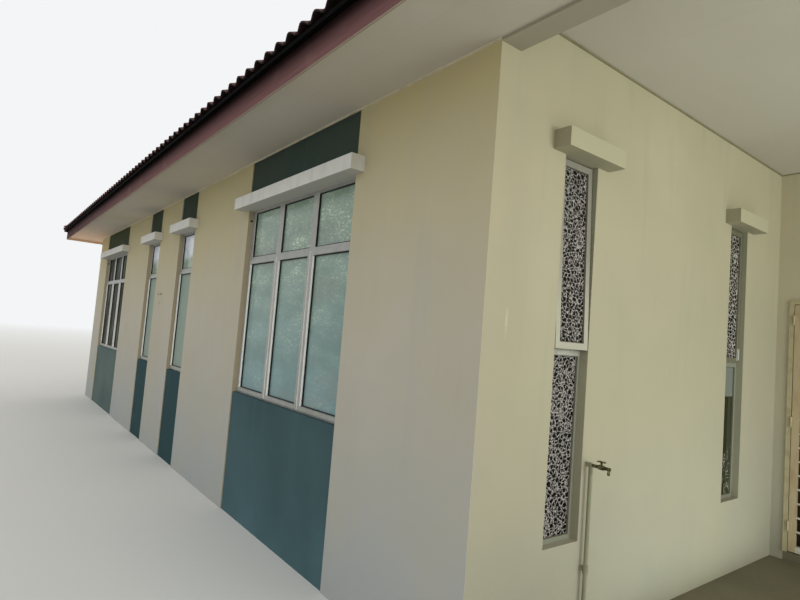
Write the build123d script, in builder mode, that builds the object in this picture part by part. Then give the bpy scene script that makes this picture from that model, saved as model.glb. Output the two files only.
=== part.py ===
import math
import os
from dataclasses import dataclass
from build123d import *

# Single-storey bungalow of rendered masonry under one hipped roof, with an open porch at its
# front left corner. Millimetres, +Z up. The origin is on the ground, under the middle of the
# roof. The front faces -Y, and the long side with the four green-banded windows faces -X.

# Plan of the house, over the faces of its walls
house_width = 8950
house_length = 15500
porch_width = 3550
porch_depth = 5000
wall_thickness = 150

# Levels above the ground outside
porch_floor_top = 50
house_floor_top = 120
soffit_level = 3060
beam_drop = 15
porch_ceiling_level = 3255
board_thickness = 9

# Eaves and roof
eave_overhang = 560
tile_overhang = 50
fascia_drop = 44
fascia_height = 174
fascia_thickness = 12
board_joint = 0.5
roof_pitch = 25
roof_thickness = 25
cap_radius = 115
cap_bed = 40

# Windows in the green-banded walls
wide_window = 1760
narrow_window = 580
sill_level = 1010
head_level = 2622
transom_level = 2170
window_reveal = 45
wide_jamb = 60
narrow_jamb = 38
mullion = 80
transom = 60
rail = 46
head_rail = 24
frame_depth = 50
rim_width = 32
rim_proud = 10
glass_setback = 18
glass_thickness = 6
panel_recess = 10

# Tall slit windows beside the porch
slit_window = 298
slit_sill = 584
slit_head = 2636
slit_transom_level = 1598
slit_transom = 50
slit_reveal = 48
slit_jamb = 22
slit_rail = 26
slit_glass_setback = 10
sash_proud = 16
sash_inner_depth = 26
sash_clearance = 7
sash_gap = 1
sash_frame = 36
sash_lap = 16
sash_opening_angle = 1.8

# Concrete hoods over the windows
hood_thickness = 100
hood_projection = 103
hood_lap = 95
slit_hood_lap = 105

# Window centres, from the corner that each wall shares with the porch or with the front
first_wide = 2095
first_narrow = 4810
second_narrow = 6290
second_wide = 8890
first_slit = 689
second_slit = 2738
front_window_edge = 1480
living_side_window = 2500
porch_side_window = 3000

# Porch posts and beams
column_size = 250
beam_width = 138

# Entrance: door frame, grille gate and timber door
nib_width = 93
entrance_width = 1000
entrance_top = 2165
frame_proud = 10
frame_face = 33
bead_width = 10
bead_proud = 5
stop_width = 60
leaf_gap = 5
gate_depth = 30
gate_tube = 50
gate_floor_gap = 10
gate_bar = 14
gate_bar_pitch = 114
gate_post = 12
gate_post_pitch = 270
door_thickness = 40
door_floor_gap = 8

# Hinges of the gate and the door
hinge_radius = 8
hinge_pin_radius = 4
hinge_bore_gap = 0.3
hinge_knuckle = 40
hinge_plate = 3
hinge_plate_width = 24
hinge_low = 330
hinge_middle = 1165
hinge_high = 2000

# Standpipe and tap
pipe_position = 878
pipe_radius = 11
pipe_off_wall = 30
pipe_top = 1003
pipe_collar_level = 416
pipe_collar_radius = 15
pipe_collar_height = 45
pipe_clip_width = 20
tap_reach = 105
tap_radius = 9
tap_hub_radius = 13
tap_hub_length = 30
spout_radius = 7
spout_drop = 32
tap_stem_radius = 5
tap_stem_height = 26
tap_lever_length = 44
tap_lever_width = 16
tap_lever_height = 7

# Places worked out from the sizes above
left_face = -house_width / 2
right_face = house_width / 2
front_face = -house_length / 2
rear_face = house_length / 2
entrance_face = left_face + porch_width
porch_back = front_face + porch_depth
fascia_bottom = soffit_level - fascia_drop
fascia_top = fascia_bottom + fascia_height
roof_slope_ratio = math.tan(math.radians(roof_pitch))
wall_top = fascia_top + eave_overhang * roof_slope_ratio
beam_underside = soffit_level - beam_drop
panel_top = soffit_level + board_thickness
tile_reach = eave_overhang + tile_overhang
eaves_half_width = house_width / 2 + tile_reach
eaves_half_length = house_length / 2 + tile_reach
ridge_half_length = eaves_half_length - eaves_half_width
tile_edge_level = fascia_top - tile_overhang * roof_slope_ratio
roof_plumb_thickness = roof_thickness / math.cos(math.radians(roof_pitch))
ridge_top = tile_edge_level + roof_plumb_thickness + eaves_half_width * roof_slope_ratio


@dataclass
class Window:
    """A window in a wall: its centre is measured along the wall, from the wall's left end."""

    centre: float
    width: float
    columns: int = 3
    jamb: float = wide_jamb
    rail: float = rail
    head_rail: float = head_rail
    crossbar: float = transom
    sill: float = sill_level
    head: float = head_level
    middle: float = transom_level
    reveal: float = window_reveal
    setback: float = glass_setback
    lap: float = hood_lap

    @property
    def level(self):
        return (self.sill + self.head) / 2

    @property
    def height(self):
        return self.head - self.sill

    def rows(self):
        """Lowest and highest edge of the lower and the upper row of panes."""
        lower = (self.sill + self.rail, self.middle - self.crossbar / 2)
        upper = (self.middle + self.crossbar / 2, self.head - self.head_rail)
        return [lower, upper]

    def pane_width(self):
        clear = self.width - 2 * self.jamb - (self.columns - 1) * mullion
        return clear / self.columns

    def pane_centres(self):
        step = self.pane_width() + mullion
        first = self.centre - step * (self.columns - 1) / 2
        return [first + step * column for column in range(self.columns)]


@dataclass
class Wall:
    """A wall seen from outside: a plane on its outer face, and the stretch it fills."""

    face: Plane
    start: float
    end: float
    windows: list
    banded: bool = True


def wide(centre):
    return Window(centre, wide_window)


def narrow(centre):
    return Window(centre, narrow_window, columns=1, jamb=narrow_jamb)


def slit(centre):
    return Window(
        centre,
        slit_window,
        columns=1,
        jamb=slit_jamb,
        rail=slit_rail,
        head_rail=slit_rail,
        crossbar=slit_transom,
        sill=slit_sill,
        head=slit_head,
        middle=slit_transom_level,
        reveal=slit_reveal,
        setback=slit_glass_setback,
        lap=slit_hood_lap,
    )


def wall_plane(x, y, along, outward):
    """Plane on a wall's outer face: local x runs along the wall, local y is up."""
    return Plane(origin=(x, y, 0), x_dir=along, z_dir=outward)


def box_sketch(face, low, high):
    """Rectangle on a wall's face between two corners given as (along, up)."""
    with BuildSketch(face) as outline:
        with Locations(((low[0] + high[0]) / 2, (low[1] + high[1]) / 2)):
            Rectangle(high[0] - low[0], high[1] - low[1])
    return outline.sketch


def wall_outline(wall):
    """The wall with a bay for each window: down to the ground where it has green panels."""
    with BuildSketch(wall.face) as outline:
        with Locations(((wall.start + wall.end) / 2, wall_top / 2)):
            Rectangle(wall.end - wall.start, wall_top)
        for window in wall.windows:
            bottom = 0 if wall.banded else window.sill
            top = panel_top if wall.banded else window.head + hood_thickness
            with Locations((window.centre, (bottom + top) / 2)):
                Rectangle(window.width, top - bottom, mode=Mode.SUBTRACT)
    return outline.sketch


def panel_outlines(wall):
    """The green panels under and over each window, set back from the wall's face."""
    with BuildSketch(wall.face.offset(-panel_recess)) as outline:
        for window in wall.windows:
            hood_top = window.head + hood_thickness
            for bottom, top in ((0, window.sill), (hood_top, panel_top)):
                with Locations((window.centre, (bottom + top) / 2)):
                    Rectangle(window.width, top - bottom)
    return outline.sketch


def hood_outlines(wall, with_laps):
    with BuildSketch(wall.face) as outline:
        for window in wall.windows:
            lap = window.lap if with_laps else 0
            with Locations((window.centre, window.head + hood_thickness / 2)):
                Rectangle(window.width + 2 * lap, hood_thickness)
    return outline.sketch


def frame_outlines(wall):
    """Window frames seen from outside, with an opening for each pane or sash."""
    with BuildSketch(wall.face.offset(-wall.windows[0].reveal)) as outline:
        for window in wall.windows:
            with Locations((window.centre, window.level)):
                Rectangle(window.width, window.height)
            for bottom, top in window.rows():
                for along in window.pane_centres():
                    with Locations((along, (bottom + top) / 2)):
                        Rectangle(window.pane_width(), top - bottom, mode=Mode.SUBTRACT)
    return outline.sketch


def rim_outlines(wall):
    """The casements of the lower row: a rim round each pane that stands proud of the frame."""
    with BuildSketch(wall.face.offset(rim_proud - wall.windows[0].reveal)) as outline:
        for window in wall.windows:
            bottom, top = window.rows()[0]
            for along in window.pane_centres():
                with Locations((along, (bottom + top) / 2)):
                    Rectangle(window.pane_width() + 2 * rim_width, top - bottom + 2 * rim_width)
                    Rectangle(window.pane_width(), top - bottom, mode=Mode.SUBTRACT)
    return outline.sketch


def window_frames(*walls):
    """Frames of all the windows in some walls, with the rims of their casements."""
    with BuildPart() as frames:
        for wall in walls:
            extrude(frame_outlines(wall), amount=-frame_depth)
            extrude(rim_outlines(wall), amount=-rim_proud)
    return frames.part


def pane_outlines(wall, rows=(0, 1)):
    """The panes of the chosen rows, behind the frame's outer face."""
    depth = wall.windows[0].reveal + wall.windows[0].setback
    with BuildSketch(wall.face.offset(-depth)) as outline:
        for window in wall.windows:
            for row in rows:
                bottom, top = window.rows()[row]
                for along in window.pane_centres():
                    with Locations((along, (bottom + top) / 2)):
                        Rectangle(window.pane_width(), top - bottom)
    return outline.sketch


def finish(part, name):
    part.label = name
    export_step(part, "parts/" + name + ".step")


os.makedirs("parts", exist_ok=True)

# Walls, each seen from outside with its left end at zero
side_length = house_length - porch_depth
left_side = Wall(
    wall_plane(left_face, rear_face, (0, -1, 0), (-1, 0, 0)),
    0,
    side_length,
    [
        wide(side_length - second_wide),
        narrow(side_length - second_narrow),
        narrow(side_length - first_narrow),
        wide(side_length - first_wide),
    ],
)
right_side = Wall(
    wall_plane(right_face, front_face, (0, 1, 0), (1, 0, 0)),
    0,
    house_length,
    [
        wide(living_side_window),
        wide(porch_depth + first_wide),
        narrow(porch_depth + first_narrow),
        narrow(porch_depth + second_narrow),
        wide(porch_depth + second_wide),
    ],
)
rear_side = Wall(
    wall_plane(right_face, rear_face, (-1, 0, 0), (0, 1, 0)),
    wall_thickness,
    house_width - wall_thickness,
    [wide(first_wide), narrow(house_width / 2), wide(house_width - first_wide)],
)
living_width = house_width - porch_width
front_side = Wall(
    wall_plane(entrance_face, front_face, (1, 0, 0), (0, -1, 0)),
    0,
    living_width - wall_thickness,
    [wide(front_window_edge), wide(living_width - front_window_edge)],
)
entrance_side = Wall(
    wall_plane(entrance_face, porch_back, (0, -1, 0), (-1, 0, 0)),
    nib_width + entrance_width,
    porch_depth - wall_thickness,
    [wide(porch_side_window)],
)
porch_side = Wall(
    wall_plane(left_face, porch_back, (1, 0, 0), (0, -1, 0)),
    wall_thickness,
    porch_width + wall_thickness,
    [slit(first_slit), slit(second_slit)],
    banded=False,
)

with BuildPart() as left_wall:
    extrude(wall_outline(left_side), amount=-wall_thickness)
finish(left_wall.part, "left_wall")

with BuildPart() as right_wall:
    extrude(wall_outline(right_side), amount=-wall_thickness)
finish(right_wall.part, "right_wall")

with BuildPart() as rear_wall:
    extrude(wall_outline(rear_side), amount=-wall_thickness)
finish(rear_wall.part, "rear_wall")

with BuildPart() as front_wall:
    extrude(wall_outline(front_side), amount=-wall_thickness)
finish(front_wall.part, "front_wall")

with BuildPart() as porch_wall:
    extrude(wall_outline(porch_side), amount=-wall_thickness)
finish(porch_wall.part, "porch_wall")

# The wall with the entrance is split beside and over the doorway
with BuildPart() as entrance_wall:
    extrude(wall_outline(entrance_side), amount=-wall_thickness)
finish(entrance_wall.part, "entrance_wall")

with BuildPart() as entrance_nib:
    extrude(box_sketch(entrance_side.face, (0, 0), (nib_width, wall_top)), amount=-wall_thickness)
finish(entrance_nib.part, "entrance_nib")

lintel_low = (nib_width, entrance_top)
lintel_high = (nib_width + entrance_width, wall_top)
with BuildPart() as entrance_lintel:
    extrude(box_sketch(entrance_side.face, lintel_low, lintel_high), amount=-wall_thickness)
finish(entrance_lintel.part, "entrance_lintel")

# Green panels under and over the windows
panel_depth = wall_thickness - panel_recess

with BuildPart() as left_panels:
    extrude(panel_outlines(left_side), amount=-panel_depth)
finish(left_panels.part, "left_panels")

with BuildPart() as right_panels:
    extrude(panel_outlines(right_side), amount=-panel_depth)
finish(right_panels.part, "right_panels")

with BuildPart() as rear_panels:
    extrude(panel_outlines(rear_side), amount=-panel_depth)
finish(rear_panels.part, "rear_panels")

with BuildPart() as front_panels:
    extrude(panel_outlines(front_side), amount=-panel_depth)
    extrude(panel_outlines(entrance_side), amount=-panel_depth)
finish(front_panels.part, "front_panels")

# Hoods: each is the lintel over its window, carried out past the wall as a ledge
with BuildPart() as window_hoods:
    for wall in (left_side, right_side, rear_side, front_side, entrance_side, porch_side):
        extrude(hood_outlines(wall, with_laps=True), amount=hood_projection)
        extrude(hood_outlines(wall, with_laps=False), amount=-wall_thickness)
finish(window_hoods.part, "window_hoods")

# Aluminium window frames and their glass
left_window_frames = window_frames(left_side)
finish(left_window_frames, "left_window_frames")

with BuildPart() as left_window_glass:
    extrude(pane_outlines(left_side), amount=-glass_thickness)
finish(left_window_glass.part, "left_window_glass")

right_window_frames = window_frames(right_side)
finish(right_window_frames, "right_window_frames")

with BuildPart() as right_window_glass:
    extrude(pane_outlines(right_side), amount=-glass_thickness)
finish(right_window_glass.part, "right_window_glass")

rear_window_frames = window_frames(rear_side)
finish(rear_window_frames, "rear_window_frames")

with BuildPart() as rear_window_glass:
    extrude(pane_outlines(rear_side), amount=-glass_thickness)
finish(rear_window_glass.part, "rear_window_glass")

front_window_frames = window_frames(front_side, entrance_side)
finish(front_window_frames, "front_window_frames")

with BuildPart() as front_window_glass:
    extrude(pane_outlines(front_side), amount=-glass_thickness)
    extrude(pane_outlines(entrance_side), amount=-glass_thickness)
finish(front_window_glass.part, "front_window_glass")

# Slit windows by the porch: fixed panes below, and above them top-hung sashes that close over the
# face of the frame. The first sash is ajar.
with BuildPart() as porch_window_frames:
    extrude(frame_outlines(porch_side), amount=-frame_depth)
finish(porch_window_frames.part, "porch_window_frames")

sash_bottom = slit_transom_level + slit_transom / 2 - sash_lap
sash_top = slit_head - sash_clearance
sash_height = sash_top - sash_bottom
sash_width = slit_window - 2 * sash_clearance
porch_frame_face = porch_side.face.offset(-slit_reveal)


def sash_plane(window, angle):
    """Plane on a sash's inner face, its origin at the top edge that the sash hangs from."""
    hinge_line = porch_frame_face.from_local_coords((window.centre, sash_top, 0))
    swing = math.radians(angle)
    outward = (0, -math.cos(swing), math.sin(swing))
    return Plane(origin=hinge_line, x_dir=(1, 0, 0), z_dir=outward)


def sash_ring(plane, border, width, top, bottom):
    """A flat ring whose outer edges lie at the given places, round the sash's pane."""
    clear_top = -sash_frame
    clear_bottom = sash_frame - sash_height
    with BuildSketch(plane) as outline:
        with Locations((0, (top + bottom) / 2)):
            Rectangle(width, top - bottom)
        with Locations((0, (clear_top + clear_bottom) / 2)):
            Rectangle(sash_width - 2 * border, clear_top - clear_bottom, mode=Mode.SUBTRACT)
    return outline.sketch


def sash_pane(plane):
    with BuildSketch(plane.offset(sash_proud - slit_glass_setback)) as outline:
        with Locations((0, -sash_height / 2)):
            Rectangle(sash_width - 2 * sash_frame, sash_height - 2 * sash_frame)
    return outline.sketch


sash_planes = [
    sash_plane(porch_side.windows[0], sash_opening_angle),
    sash_plane(porch_side.windows[1], 0),
]
inner_width = slit_window - 2 * slit_jamb - 2 * sash_gap
inner_top = slit_head - slit_rail - sash_gap - sash_top
inner_bottom = slit_transom_level + slit_transom / 2 + sash_gap - sash_top

with BuildPart() as porch_sashes:
    for plane in sash_planes:
        extrude(sash_ring(plane, sash_frame, sash_width, 0, -sash_height), amount=sash_proud)
        inner_ring = sash_ring(plane, sash_frame, inner_width, inner_top, inner_bottom)
        extrude(inner_ring, amount=-sash_inner_depth)
finish(porch_sashes.part, "porch_sashes")

with BuildPart() as porch_window_glass:
    extrude(pane_outlines(porch_side, rows=(0,)), amount=-glass_thickness)
    for plane in sash_planes:
        extrude(sash_pane(plane), amount=-glass_thickness)
finish(porch_window_glass.part, "porch_window_glass")

# Floors and ceilings
room_left = left_face + wall_thickness
room_right = right_face - wall_thickness
room_front = front_face + wall_thickness
room_rear = rear_face - wall_thickness
room_step_x = entrance_face + wall_thickness
room_step_y = porch_back + wall_thickness


def room_outline(level):
    """The L of floor inside the walls, behind the porch and beside it."""
    with BuildSketch(Plane.XY.offset(level)) as outline:
        with BuildLine():
            Polyline(
                (room_left, room_step_y),
                (room_step_x, room_step_y),
                (room_step_x, room_front),
                (room_right, room_front),
                (room_right, room_rear),
                (room_left, room_rear),
                close=True,
            )
        make_face()
    return outline.sketch


with BuildPart() as house_floor:
    extrude(room_outline(0), amount=house_floor_top)
finish(house_floor.part, "house_floor")

with BuildPart() as house_ceiling:
    extrude(room_outline(porch_ceiling_level), amount=board_thickness)
finish(house_ceiling.part, "house_ceiling")

with BuildPart() as entrance_threshold:
    extrude(
        box_sketch(entrance_side.face, (nib_width, 0), (nib_width + entrance_width, house_floor_top)),
        amount=-wall_thickness,
    )
finish(entrance_threshold.part, "entrance_threshold")

with BuildPart() as porch_floor:
    with BuildSketch():
        with Locations((left_face, front_face)):
            Rectangle(porch_width, porch_depth, align=(Align.MIN, Align.MIN))
            Rectangle(column_size, column_size, align=(Align.MIN, Align.MIN), mode=Mode.SUBTRACT)
    extrude(amount=porch_floor_top)
finish(porch_floor.part, "porch_floor")

with BuildPart() as porch_ceiling:
    with BuildSketch(Plane.XY.offset(porch_ceiling_level)):
        with Locations((left_face + beam_width, front_face + beam_width)):
            Rectangle(porch_width - beam_width, porch_depth - beam_width, align=(Align.MIN, Align.MIN))
    extrude(amount=board_thickness)
finish(porch_ceiling.part, "porch_ceiling")

# Porch column and the two beams that carry the roof over the porch
with BuildPart() as porch_column:
    with BuildSketch():
        with Locations((left_face, front_face)):
            Rectangle(column_size, column_size, align=(Align.MIN, Align.MIN))
    extrude(amount=beam_underside)
finish(porch_column.part, "porch_column")

with BuildPart() as porch_side_beam:
    with BuildSketch(Plane.XY.offset(beam_underside)):
        with Locations((left_face, front_face)):
            Rectangle(beam_width, porch_depth, align=(Align.MIN, Align.MIN))
    extrude(amount=wall_top - beam_underside)
finish(porch_side_beam.part, "porch_side_beam")

with BuildPart() as porch_front_beam:
    with BuildSketch(Plane.XY.offset(beam_underside)):
        with Locations((left_face + beam_width, front_face)):
            Rectangle(porch_width - beam_width, beam_width, align=(Align.MIN, Align.MIN))
    extrude(amount=wall_top - beam_underside)
finish(porch_front_beam.part, "porch_front_beam")

# Eaves: flat soffit boards and the fascia boards that close them
fascia_reach = house_width / 2 + eave_overhang
fascia_length = house_length / 2 + eave_overhang
soffit_width = eave_overhang - fascia_thickness

with BuildPart() as soffit_boards:
    with BuildSketch(Plane.XY.offset(soffit_level)):
        for side in (-1, 1):
            with Locations((side * (house_width + soffit_width) / 2, 0)):
                Rectangle(soffit_width, 2 * (fascia_length - fascia_thickness))
            with Locations((0, side * (house_length + soffit_width) / 2)):
                Rectangle(house_width - 2 * board_joint, soffit_width)
    extrude(amount=board_thickness)
finish(soffit_boards.part, "soffit_boards")

with BuildPart() as fascia_boards:
    with BuildSketch(Plane.XY.offset(fascia_bottom)):
        for side in (-1, 1):
            with Locations((side * (fascia_reach - fascia_thickness / 2), 0)):
                Rectangle(fascia_thickness, 2 * fascia_length)
            with Locations((0, side * (fascia_length - fascia_thickness / 2))):
                Rectangle(2 * (fascia_reach - fascia_thickness - board_joint), fascia_thickness)
    extrude(amount=fascia_height)
finish(fascia_boards.part, "fascia_boards")


def roof_slope(outward, depth):
    """One slope of the hipped roof, of a given plumb depth, mitred along its hips."""
    across, along = outward
    on_side = across != 0
    ridge_point = (0, along * ridge_half_length, 0)
    reach = eaves_half_width
    eave_top = tile_edge_level + roof_plumb_thickness
    with BuildPart() as slope:
        up = Vector(0, 0, 1)
        out = Vector(across, along, 0)
        section = Plane(origin=ridge_point, x_dir=out, z_dir=out.cross(up))
        with BuildSketch(section):
            with BuildLine():
                Polyline(
                    (reach, eave_top - depth),
                    (reach, eave_top),
                    (0, ridge_top),
                    (0, ridge_top - depth),
                    close=True,
                )
            make_face()
        extrude(amount=eaves_half_length, both=True)
        with BuildSketch():
            with BuildLine():
                if on_side:
                    Polyline(
                        (across * eaves_half_width, -eaves_half_length),
                        (across * eaves_half_width, eaves_half_length),
                        (0, ridge_half_length),
                        (0, -ridge_half_length),
                        close=True,
                    )
                else:
                    Polyline(
                        (-eaves_half_width, along * eaves_half_length),
                        (eaves_half_width, along * eaves_half_length),
                        (0, along * ridge_half_length),
                        close=True,
                    )
            make_face()
        extrude(amount=2 * ridge_top, mode=Mode.INTERSECT)
    return slope.part


left_slope = roof_slope((-1, 0), roof_plumb_thickness)
right_slope = roof_slope((1, 0), roof_plumb_thickness)
front_slope = roof_slope((0, -1), roof_plumb_thickness)
rear_slope = roof_slope((0, 1), roof_plumb_thickness)
finish(left_slope, "left_slope")
finish(right_slope, "right_slope")
finish(front_slope, "front_slope")
finish(rear_slope, "rear_slope")

# Half-round cappings bedded on the ridge and the hips, mitred where they meet. What they stand on
# is cut from them.
capping_bed_depth = 2 * cap_radius
bedding = [
    roof_slope(outward, capping_bed_depth) for outward in ((-1, 0), (1, 0), (0, -1), (0, 1))
]
mitre_slope = math.tan(math.radians(22.5))


def plan_prism(*corners):
    """A tall prism over an outline seen in plan."""
    with BuildPart() as prism:
        with BuildSketch():
            with BuildLine():
                Polyline(*corners, close=True)
            make_face()
        extrude(amount=2 * ridge_top)
    return prism.part


with BuildPart() as ridge_cap:
    with BuildSketch(Plane.XZ):
        with Locations((0, ridge_top - cap_bed)):
            Circle(cap_radius)
    extrude(amount=ridge_half_length, both=True)
    reach = 2 * cap_radius
    shoulder = ridge_half_length - mitre_slope * reach
    mitred = plan_prism(
        (0, ridge_half_length),
        (reach, shoulder),
        (reach, -shoulder),
        (0, -ridge_half_length),
        (-reach, -shoulder),
        (-reach, shoulder),
    )
    add(mitred, mode=Mode.INTERSECT)
    for bed in bedding:
        add(bed, mode=Mode.SUBTRACT)
finish(ridge_cap.part, "ridge_cap")


def hip_cap(across, along):
    """Capping of one hip, from the ridge's end down to the corner of the eaves."""
    apex = Vector(0, along * ridge_half_length, ridge_top - cap_bed)
    run = Vector(
        across * eaves_half_width, along * eaves_half_width, -eaves_half_width * roof_slope_ratio
    )
    head = apex - run.normalized() * cap_radius
    shoulder = ridge_half_length - mitre_slope * eaves_half_width
    with BuildPart() as cap:
        with BuildSketch(Plane(origin=head, z_dir=run)):
            Circle(cap_radius)
        extrude(amount=run.length + cap_radius)
        mitred = plan_prism(
            (0, along * ridge_half_length),
            (0, along * eaves_half_length),
            (across * eaves_half_width, along * eaves_half_length),
            (across * eaves_half_width, along * shoulder),
        )
        add(mitred, mode=Mode.INTERSECT)
        for bed in bedding:
            add(bed, mode=Mode.SUBTRACT)
    return cap.part


with BuildPart() as hip_caps:
    for across in (-1, 1):
        for along in (-1, 1):
            add(hip_cap(across, along))
finish(hip_caps.part, "hip_caps")

# Door frame: a head and two jambs with a raised bead round their outer edge, rebated outside for
# the gate and inside for the door
frame_left = nib_width
frame_right = nib_width + entrance_width
gate_rebate = gate_depth + leaf_gap
door_rebate = door_thickness + leaf_gap
frame_total_depth = wall_thickness + 2 * frame_proud


def frame_ring(offset, member):
    """Outline of the head and jambs, with members of a given width."""
    with BuildSketch(entrance_side.face.offset(offset)) as outline:
        centre = (frame_left + frame_right) / 2
        with Locations((centre, (house_floor_top + entrance_top) / 2)):
            Rectangle(entrance_width, entrance_top - house_floor_top)
        clear_top = entrance_top - member
        with Locations((centre, (house_floor_top + clear_top) / 2)):
            Rectangle(entrance_width - 2 * member, clear_top - house_floor_top, mode=Mode.SUBTRACT)
    return outline.sketch


with BuildPart() as door_frame:
    extrude(frame_ring(frame_proud, frame_face), amount=-frame_total_depth)
    extrude(
        frame_ring(frame_proud - gate_rebate, stop_width),
        amount=-(frame_total_depth - gate_rebate - door_rebate),
    )
    extrude(frame_ring(frame_proud + bead_proud, bead_width), amount=-bead_proud)
finish(door_frame.part, "door_frame")

# Grille gate: a welded frame of square tube with flat bars, hinged at the jamb by the corner
leaf_left = frame_left + frame_face + leaf_gap
leaf_right = frame_right - frame_face - leaf_gap
leaf_top = entrance_top - frame_face - leaf_gap
gate_bottom = house_floor_top + gate_floor_gap
gate_width = leaf_right - leaf_left
gate_height = leaf_top - gate_bottom
gate_centre = ((leaf_left + leaf_right) / 2, (gate_bottom + leaf_top) / 2)
gate_clear_width = gate_width - 2 * gate_tube
gate_clear_height = gate_height - 2 * gate_tube
bar_count = math.floor(gate_clear_height / gate_bar_pitch)
bar_pitch = gate_clear_height / (bar_count + 1)
post_count = math.floor(gate_clear_width / gate_post_pitch)
post_pitch = gate_clear_width / (post_count + 1)
hinge_along = frame_left + frame_face + leaf_gap / 2
gate_hinge_offset = frame_proud + hinge_radius
door_hinge_offset = -(wall_thickness + frame_proud + hinge_radius)
knuckle_levels = (hinge_low, hinge_middle, hinge_high)


def knuckle_plane(offset, level):
    """Horizontal plane through a hinge, with local x along the wall and local y inwards."""
    centre = entrance_side.face.from_local_coords((hinge_along, level, offset))
    return Plane(origin=centre, x_dir=(0, -1, 0), z_dir=(0, 0, 1))


def leaf_knuckle(offset, inward, level):
    """Knuckle on the gate or door: a bored barrel with a plate lying on the leaf's face."""
    with BuildSketch(knuckle_plane(offset, level)) as outline:
        Circle(hinge_radius)
        plate_centre = hinge_radius - hinge_plate / 2
        with Locations((hinge_plate_width / 2, inward * plate_centre)):
            Rectangle(hinge_plate_width, hinge_plate)
        Circle(hinge_pin_radius + hinge_bore_gap, mode=Mode.SUBTRACT)
    return outline.sketch


def frame_knuckle(offset, inward, level):
    with BuildSketch(knuckle_plane(offset, level)) as outline:
        Circle(hinge_radius)
        plate_centre = hinge_radius - hinge_plate / 2
        with Locations((-hinge_plate_width / 2, inward * plate_centre)):
            Rectangle(hinge_plate_width, hinge_plate)
    return outline.sketch


def hinge_pin(offset, level):
    with BuildSketch(knuckle_plane(offset, level)) as outline:
        Circle(hinge_pin_radius)
    return outline.sketch


with BuildPart() as grille_gate:
    with BuildSketch(entrance_side.face.offset(frame_proud)) as gate_frame:
        with Locations(gate_centre):
            Rectangle(gate_width, gate_height)
            Rectangle(gate_clear_width, gate_clear_height, mode=Mode.SUBTRACT)
    extrude(gate_frame.sketch, amount=-gate_depth)
    with BuildSketch(entrance_side.face.offset(frame_proud - (gate_depth - gate_bar) / 2)) as bars:
        with Locations(gate_centre):
            with GridLocations(0, bar_pitch, 1, bar_count):
                Rectangle(gate_clear_width + gate_tube, gate_bar)
            with GridLocations(post_pitch, 0, post_count, 1):
                Rectangle(gate_post, gate_clear_height + gate_tube)
    extrude(bars.sketch, amount=-gate_bar)
    for level in knuckle_levels:
        extrude(leaf_knuckle(gate_hinge_offset, 1, level), amount=hinge_knuckle)
finish(grille_gate.part, "grille_gate")

# Entrance door: a plain flush leaf of dark timber that opens inwards
door_bottom = house_floor_top + door_floor_gap
with BuildPart() as entrance_door:
    door_face = entrance_side.face.offset(frame_proud - frame_total_depth + door_thickness)
    extrude(box_sketch(door_face, (leaf_left, door_bottom), (leaf_right, leaf_top)), amount=-door_thickness)
    for level in knuckle_levels:
        extrude(leaf_knuckle(door_hinge_offset, -1, level), amount=hinge_knuckle)
finish(entrance_door.part, "entrance_door")

with BuildPart() as hinge_pins:
    for offset, inward in ((gate_hinge_offset, 1), (door_hinge_offset, -1)):
        for level in knuckle_levels:
            pin_foot = level - hinge_bore_gap
            extrude(frame_knuckle(offset, inward, pin_foot - hinge_knuckle), amount=hinge_knuckle)
            extrude(hinge_pin(offset, pin_foot), amount=hinge_knuckle)
finish(hinge_pins.part, "hinge_pins")

# Standpipe against the porch wall, with a tap
pipe_x = left_face + pipe_position
pipe_y = porch_back - pipe_off_wall
tap_level = pipe_top - pipe_radius

with BuildPart() as standpipe:
    with BuildSketch(Plane.XY.offset(porch_floor_top)):
        with Locations((pipe_x, pipe_y)):
            Circle(pipe_radius)
    extrude(amount=pipe_top - porch_floor_top)
    with BuildSketch(Plane.XY.offset(pipe_collar_level)):
        with Locations((pipe_x, pipe_y)):
            Circle(pipe_collar_radius)
    extrude(amount=pipe_collar_height)
    with BuildSketch(Plane.XZ.offset(-porch_back)) as clips:
        with Locations((pipe_x, pipe_collar_level + pipe_collar_height / 2), (pipe_x, tap_level)):
            Rectangle(2 * pipe_radius, pipe_clip_width)
    extrude(clips.sketch, amount=pipe_off_wall)
finish(standpipe.part, "standpipe")

tap_end = pipe_y - pipe_radius - tap_reach
tap_hub = pipe_y - pipe_radius - tap_reach / 2

with BuildPart() as tap:
    with BuildSketch(Plane.XZ.offset(-pipe_y + pipe_radius)) as body:
        with Locations((pipe_x, tap_level)):
            Circle(tap_radius)
    extrude(body.sketch, amount=tap_reach)
    with BuildSketch(Plane.XZ.offset(-tap_hub - tap_hub_length / 2)) as hub:
        with Locations((pipe_x, tap_level)):
            Circle(tap_hub_radius)
    extrude(hub.sketch, amount=tap_hub_length)
    with BuildSketch(Plane.XY.offset(tap_level - spout_drop)) as spout:
        with Locations((pipe_x, tap_end + tap_radius)):
            Circle(spout_radius)
    extrude(spout.sketch, amount=spout_drop)
    with BuildSketch(Plane.XY.offset(tap_level)) as stem:
        with Locations((pipe_x, tap_hub)):
            Circle(tap_stem_radius)
    extrude(stem.sketch, amount=tap_stem_height)
    with BuildSketch(Plane.XY.offset(tap_level + tap_stem_height)) as lever:
        with Locations((pipe_x, tap_hub)):
            Rectangle(tap_lever_width, tap_lever_length)
    extrude(lever.sketch, amount=tap_lever_height)
finish(tap.part, "tap")
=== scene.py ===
"""Looks of a single-storey bungalow: its paints, glazing, roof tiles, cappings and small fittings."""

import math
from functools import partial
from itertools import product

import bmesh
import bpy
from mathutils import Matrix, Vector


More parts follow.
